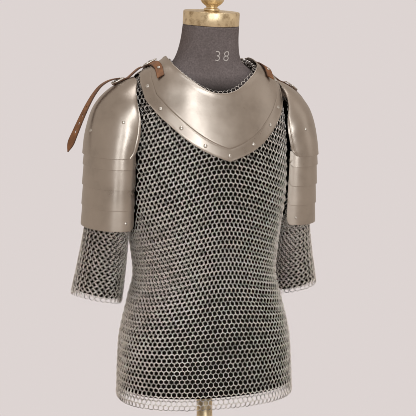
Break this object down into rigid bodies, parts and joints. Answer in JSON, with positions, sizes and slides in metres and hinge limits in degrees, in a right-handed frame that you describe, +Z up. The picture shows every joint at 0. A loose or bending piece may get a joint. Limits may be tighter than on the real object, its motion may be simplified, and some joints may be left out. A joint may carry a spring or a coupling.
{
  "type": "chainmail hauberk with plate gorget and pauldrons on a limbless dress form",
  "caption": "Mail shirt of small steel rings with elbow sleeves, pointed plate gorget and laminated pauldrons on leather straps, worn on a limbless dress form with a round foot.",
  "frame": {"origin": "centre of the stand's round foot, on the floor", "axes": "+Z up, the wearer's front faces -Y, the wearer's right is -X"},
  "size_m": [0.5929, 0.41, 1.5526],
  "materials": {
    "mail": "satin steel rings",
    "steel": "satin polished",
    "leather": "waxed brown",
    "fittings": "polished",
    "form_cloth": "matt woven cloth",
    "brass": "aged brass",
    "dark_wood": "dark stained"
  },
  "bodies": {
    "root": {"mail_front": "mail", "mail_back": "mail", "sleeve_left": "mail", "sleeve_right": "mail", "gorget_front": "steel", "gorget_back": "steel", "dome_left": "steel", "dome_right": "steel", "lame_1_left": "steel", "lame_2_left": "steel", "lame_3_left": "steel", "lame_4_left": "steel", "lame_1_right": "steel", "lame_2_right": "steel", "lame_3_right": "steel", "lame_4_right": "steel", "joining_strap_left": "leather", "joining_strap_right": "leather", "pauldron_strap_left": "leather", "pauldron_strap_right": "leather", "free_strap_right": "leather", "joining_buckle_left": "fittings", "joining_buckle_right": "fittings", "pauldron_buckle_left": "fittings", "pauldron_buckle_right": "fittings", "form_body": "form_cloth", "neck_cap": "brass", "neck_knob": "brass", "stand_pole": "brass", "stand_base": "dark_wood"}
  },
  "joints": []
}
